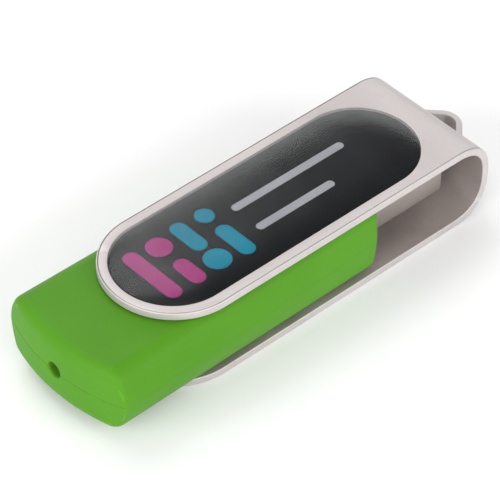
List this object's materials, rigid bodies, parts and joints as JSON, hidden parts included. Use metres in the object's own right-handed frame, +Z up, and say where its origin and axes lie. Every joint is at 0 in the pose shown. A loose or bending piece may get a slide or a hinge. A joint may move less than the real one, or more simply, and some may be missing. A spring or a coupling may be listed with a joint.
{
  "type": "usb flash drive",
  "caption": "Flash drive whose plastic case swivels inside a folded sheet-metal clip with a domed label and a lanyard bridge at the fold.",
  "frame": {"origin": "middle of the base of the whole drive, on the surface that it lies on", "axes": "+X lengthwise towards the clip's fold and lanyard bridge, +Z up through the clip's plates; the swivel axis is parallel to +Z, 14.31 mm back from the origin"},
  "size_m": [0.0652, 0.0206, 0.0127],
  "materials": {
    "clip_metal": "fine bead-blasted satin, slightly warm",
    "label_print": null,
    "dome_resin": "clear poured resin, high gloss",
    "case_plastic": "moulded plastic with a soft matte coat",
    "stud_plastic": "moulded plastic, smooth",
    "plug_steel": "nickel-plated, satin",
    "tongue_plastic": "moulded plastic, black",
    "contact_gold": "gold-plated",
    "board_laminate": "green solder mask",
    "chip_epoxy": "moulded epoxy",
    "crystal_can": "seam-sealed metal can",
    "led_resin": "moulded clear lens",
    "capacitor_ceramic": "fired ceramic with tinned ends",
    "resistor_ceramic": "glazed film with tinned ends"
  },
  "bodies": {
    "clip": {"swivel_clip": "clip_metal", "label_film": "label_print", "resin_dome": "dome_resin"},
    "drive": {"case_upper": "case_plastic", "case_lower": "case_plastic", "pivot_stud_upper": "stud_plastic", "pivot_stud_lower": "stud_plastic", "plug_shell": "plug_steel", "plug_tongue": "tongue_plastic", "contact_vbus": "contact_gold", "contact_data_minus": "contact_gold", "contact_data_plus": "contact_gold", "contact_ground": "contact_gold", "circuit_board": "board_laminate", "flash_memory_chip": "chip_epoxy", "controller_chip": "chip_epoxy", "crystal": "crystal_can", "activity_led": "led_resin", "capacitor_1": "capacitor_ceramic", "resistor_1": "resistor_ceramic", "capacitor_2": "capacitor_ceramic", "resistor_2": "resistor_ceramic", "capacitor_3": "capacitor_ceramic", "resistor_3": "resistor_ceramic", "capacitor_4": "capacitor_ceramic", "resistor_4": "resistor_ceramic"}
  },
  "joints": [
    {"name": "swivel", "type": "hinge", "parent": "clip", "child": "drive", "pos_m": [-0.01431, 0, 0], "axis": [0, 0, 1], "continuous": true}
  ]
}
